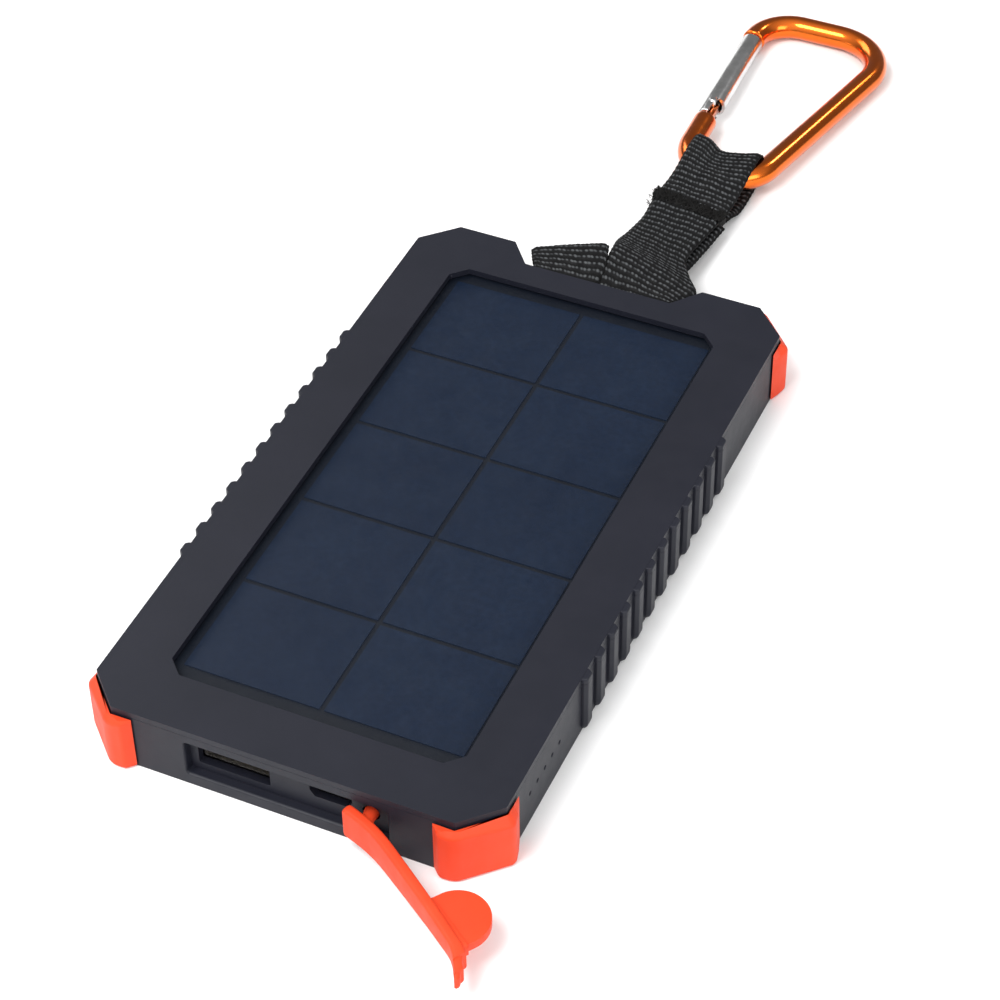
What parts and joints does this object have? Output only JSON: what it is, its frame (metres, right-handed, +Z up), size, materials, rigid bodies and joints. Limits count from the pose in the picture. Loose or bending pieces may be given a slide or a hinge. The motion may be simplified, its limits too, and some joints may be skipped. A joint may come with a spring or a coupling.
{
  "type": "solar phone charger",
  "caption": "Slim rectangular solar phone charger with rubber corners, a swivelling rubber port cover and a webbing strap that carries a snap hook.",
  "frame": {"origin": "centre of the flat underside of the case, which rests on the table", "axes": "+Z up out of the solar window, +Y along the case from the socket end to the strap end, +X to the right seen from the socket end"},
  "size_m": [0.0822, 0.2686, 0.013],
  "materials": {
    "black_plastic": "moulded black ABS with a fine satin texture",
    "orange_rubber": "soft matt orange rubber",
    "black_screw": "blackened steel",
    "panel_black": "black backing",
    "cell_navy": "dark blue cell under a clear laminate",
    "clear_sheet": "clear laminate with a fine grain",
    "socket_steel": "plated steel",
    "socket_plastic": "black moulding",
    "gold": "gold plated",
    "pouch_foil": "foil pouch",
    "black_foam": "foam pad",
    "green_board": "solder mask",
    "chip_black": "chip package",
    "ferrite_grey": "ferrite",
    "led_white": "white LED",
    "lead_red": "red insulation",
    "lead_black": "black insulation",
    "black_webbing": "coarse woven polypropylene webbing",
    "tack_thread": "fuzzy bar tack",
    "orange_anodised": "polished orange anodised aluminium",
    "gate_silver": "bare polished aluminium"
  },
  "bodies": {
    "case": {"battery_cell": "pouch_foil", "battery_lead_black": "lead_black", "battery_lead_red": "lead_red", "bottom_cover": "black_plastic", "bumper_back_left": "orange_rubber", "bumper_back_right": "orange_rubber", "bumper_front_left": "orange_rubber", "bumper_front_right": "orange_rubber", "case_screw_1": "black_screw", "case_screw_2": "black_screw", "case_screw_3": "black_screw", "case_screw_4": "black_screw", "circuit_board": "green_board", "controller_chip": "chip_black", "foam_pad_1": "black_foam", "foam_pad_2": "black_foam", "lanyard_bar": "black_plastic", "micro_usb_shell": "socket_steel", "micro_usb_tongue": "socket_plastic", "panel_board": "panel_black", "panel_lead_black": "lead_black", "panel_lead_red": "lead_red", "power_inductor": "ferrite_grey", "solar_cell_1_1": "cell_navy", "solar_cell_1_2": "cell_navy", "solar_cell_1_3": "cell_navy", "solar_cell_1_4": "cell_navy", "solar_cell_1_5": "cell_navy", "solar_cell_2_1": "cell_navy", "solar_cell_2_2": "cell_navy", "solar_cell_2_3": "cell_navy", "solar_cell_2_4": "cell_navy", "solar_cell_2_5": "cell_navy", "status_led_1": "led_white", "status_led_2": "led_white", "status_led_3": "led_white", "status_led_4": "led_white", "status_led_5": "led_white", "top_cover": "black_plastic", "usb_a_contacts": "gold", "usb_a_shell": "socket_steel", "usb_a_tongue": "socket_plastic", "window_sheet": "clear_sheet"},
    "cover_anchor": {"port_cover_anchor": "orange_rubber"},
    "cover_stem": {"port_cover_stem": "orange_rubber"},
    "cover_root": {"port_cover_root": "orange_rubber"},
    "cover_strip": {"port_cover_strip": "orange_rubber"},
    "strap_root": {"strap_wrap_left": "black_webbing", "strap_wrap_right": "black_webbing", "strap_web_lower": "black_webbing"},
    "strap_end": {"strap_web_upper": "black_webbing", "strap_bar_tack": "tack_thread", "strap_end_loop": "black_webbing"},
    "hook": {"hook_body": "orange_anodised"},
    "gate": {"hook_gate": "gate_silver", "gate_rivet": "gate_silver", "nose_pin": "socket_steel", "gate_spring": "socket_steel", "gate_plunger": "socket_steel"}
  },
  "joints": [
    {"name": "cover_pull", "type": "slide", "parent": "case", "child": "cover_anchor", "axis": [0, -1, 0], "range_m": [-0.0016, 0]},
    {"name": "cover_swivel", "type": "hinge", "parent": "cover_anchor", "child": "cover_stem", "pos_m": [0.0154, -0.0691, 0.0061], "axis": [0, 1, 0], "range_deg": [-180, 0]},
    {"name": "cover_lift", "type": "hinge", "parent": "cover_stem", "child": "cover_root", "pos_m": [0.0124, -0.0691, 0.0061], "axis": [0, 0, -1], "range_deg": [-18, 30], "deforming": ["port_cover_stem"]},
    {"name": "cover_flex", "type": "hinge", "parent": "cover_root", "child": "cover_strip", "pos_m": [0.01752, -0.07276, 0.0061], "axis": [0, 0, -1], "range_deg": [-17, 20]},
    {"name": "strap_swing", "type": "hinge", "parent": "case", "child": "strap_root", "pos_m": [0, 0.0668, 0.0065], "axis": [1, 0, 0], "range_deg": [-35, 55]},
    {"name": "strap_bend", "type": "hinge", "parent": "strap_root", "child": "strap_end", "pos_m": [0, 0.088, 0.0056], "axis": [1, 0, 0], "range_deg": [-40, 60], "deforming": ["strap_web_lower"]},
    {"name": "hook_swing", "type": "hinge", "parent": "strap_end", "child": "hook", "pos_m": [0, 0.11487, 0.00429], "axis": [1, 0, 0], "range_deg": [-35, 40], "deforming": ["strap_end_loop"]},
    {"name": "gate_open", "type": "hinge", "parent": "hook", "child": "gate", "pos_m": [-0.00434, 0.13699, 0.00369], "axis": [0, -0.027, -0.9996], "range_deg": [0, 28], "stiffness_Nm_per_rad": 0.02, "springref_deg": -20.05}
  ]
}
